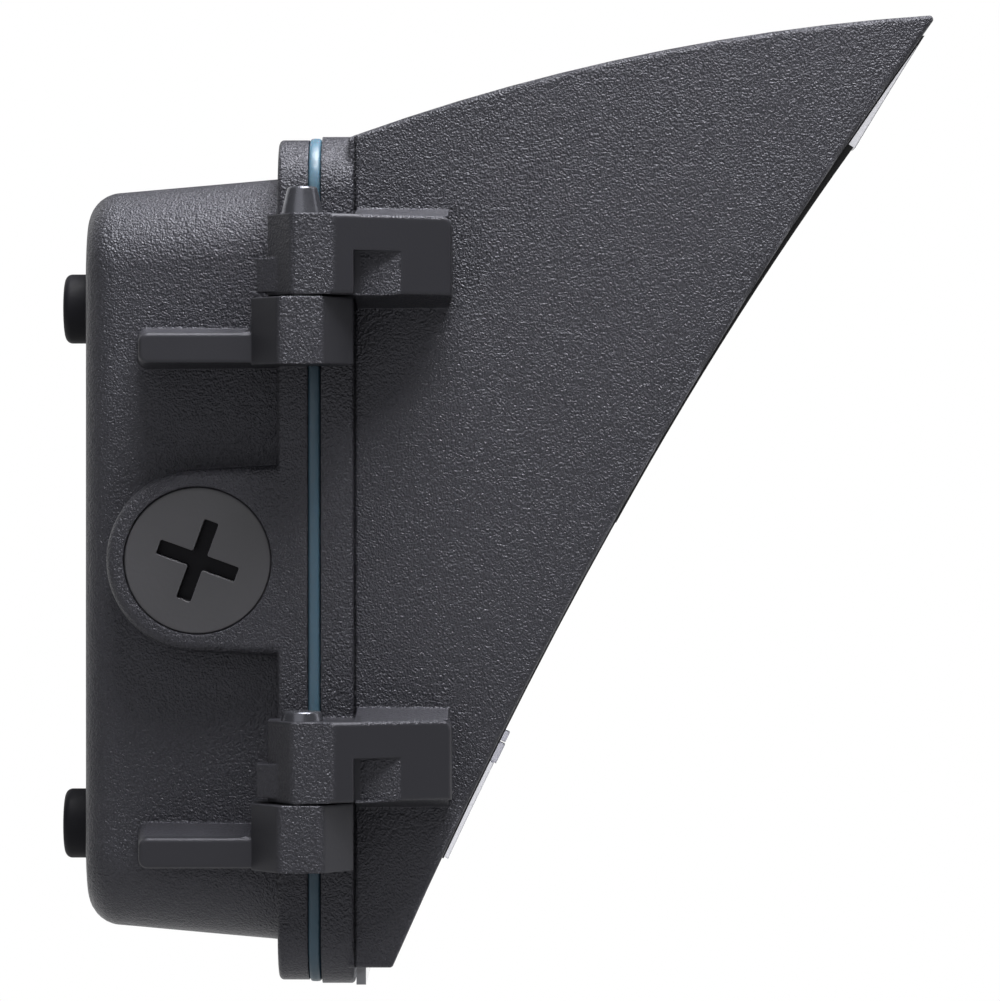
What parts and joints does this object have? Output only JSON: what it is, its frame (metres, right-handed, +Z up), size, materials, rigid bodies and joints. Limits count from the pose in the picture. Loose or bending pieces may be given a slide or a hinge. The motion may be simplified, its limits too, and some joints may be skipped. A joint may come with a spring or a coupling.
{
  "type": "wall pack light",
  "caption": "Hinged wall pack light: cast rear box with conduit entries, lift-off hinges and a deep hood over a slanted clear lens.",
  "frame": {"origin": "middle of the four wall screws, on the wall plane", "axes": "+Z up, +Y into the wall, light faces -Y, hinge on the -X side"},
  "size_m": [0.2696, 0.158, 0.1741],
  "materials": {
    "powder_coat": "fine textured powder coat",
    "pin_coat": "smooth coat",
    "plug_plastic": "smooth moulded",
    "bumper_rubber": "satin",
    "teal_silicone": "satin",
    "black_rubber": "matte",
    "strip_black": "matte",
    "clear_lens": "clear moulded, prismatic inside",
    "clear_clip": "clear moulded",
    "zinc_screw": "zinc plated",
    "screw_brass": "machined",
    "tray_aluminium": "rolled sheet",
    "wedge_aluminium": "extruded",
    "reflector_white": "satin white paint",
    "board_white": "solder mask",
    "led_phosphor": "phosphor under a clear dome",
    "connector_white": "moulded",
    "driver_base": "satin",
    "driver_top": "moulded",
    "surge_black": "potted block",
    "connector_amber": "moulded",
    "ground_green": "green screw",
    "tin_plate": "tin plated",
    "grommet_black": "matte",
    "wire_black": "insulation",
    "wire_white": "insulation",
    "wire_green": "insulation",
    "wire_red": "insulation"
  },
  "bodies": {
    "housing": {"rear_housing": "powder_coat", "hinge_pin_upper": "pin_coat", "hinge_pin_lower": "pin_coat", "wall_bumper_1": "bumper_rubber", "wall_bumper_2": "bumper_rubber", "wall_bumper_3": "bumper_rubber", "wall_bumper_4": "bumper_rubber", "plug_seal_left": "black_rubber", "plug_seal_right": "black_rubber", "screw_insert_upper": "screw_brass", "screw_insert_lower": "screw_brass", "led_tray": "tray_aluminium", "reflector": "reflector_white", "led_wedge": "wedge_aluminium", "led_board": "board_white", "led_packages": "led_phosphor", "board_screws": "zinc_screw", "board_connector": "connector_white", "tray_grommet": "grommet_black", "tray_screws": "zinc_screw", "driver_case": "driver_base", "driver_cover": "driver_top", "driver_screws": "zinc_screw", "surge_protector": "surge_black", "push_connector_line": "connector_amber", "push_connector_neutral": "connector_amber", "push_connector_ground": "connector_amber", "ground_screw": "ground_green", "ground_terminal": "tin_plate", "driver_line_lead": "wire_black", "driver_neutral_lead": "wire_white", "ground_lead": "wire_green", "surge_line_lead": "wire_black", "surge_neutral_lead": "wire_white", "board_plus_lead": "wire_red", "board_minus_lead": "wire_black"},
    "door": {"door_hood": "powder_coat", "door_gasket": "teal_silicone", "lens": "clear_lens", "lens_gasket_left": "black_rubber", "lens_gasket_right": "black_rubber", "lens_side_strip_left": "strip_black", "lens_side_strip_right": "strip_black", "lens_clip_left": "clear_clip", "lens_clip_right": "clear_clip"},
    "upper_screw": {"door_screw_upper": "zinc_screw", "screw_ring_upper": "zinc_screw"},
    "lower_screw": {"door_screw_lower": "zinc_screw", "screw_ring_lower": "zinc_screw"},
    "left_plug": {"conduit_plug_left": "plug_plastic"},
    "right_plug": {"conduit_plug_right": "plug_plastic"}
  },
  "joints": [
    {"name": "door_hinge", "type": "hinge", "parent": "housing", "child": "door", "pos_m": [-0.129, -0.0455, 0], "axis": [0, 0, -1], "range_deg": [0, 110]},
    {"name": "upper_screw_travel", "type": "slide", "parent": "door", "child": "upper_screw", "axis": [0, -1, 0], "range_m": [0, 0.008]},
    {"name": "lower_screw_travel", "type": "slide", "parent": "door", "child": "lower_screw", "axis": [0, -1, 0], "range_m": [0, 0.008]},
    {"name": "left_plug_turn", "type": "hinge", "parent": "housing", "child": "left_plug", "pos_m": [-0.115, -0.0263, 0.0014], "axis": [1, 0, 0], "continuous": true},
    {"name": "right_plug_turn", "type": "hinge", "parent": "housing", "child": "right_plug", "pos_m": [0.115, -0.0263, 0.0014], "axis": [1, 0, 0], "continuous": true}
  ]
}
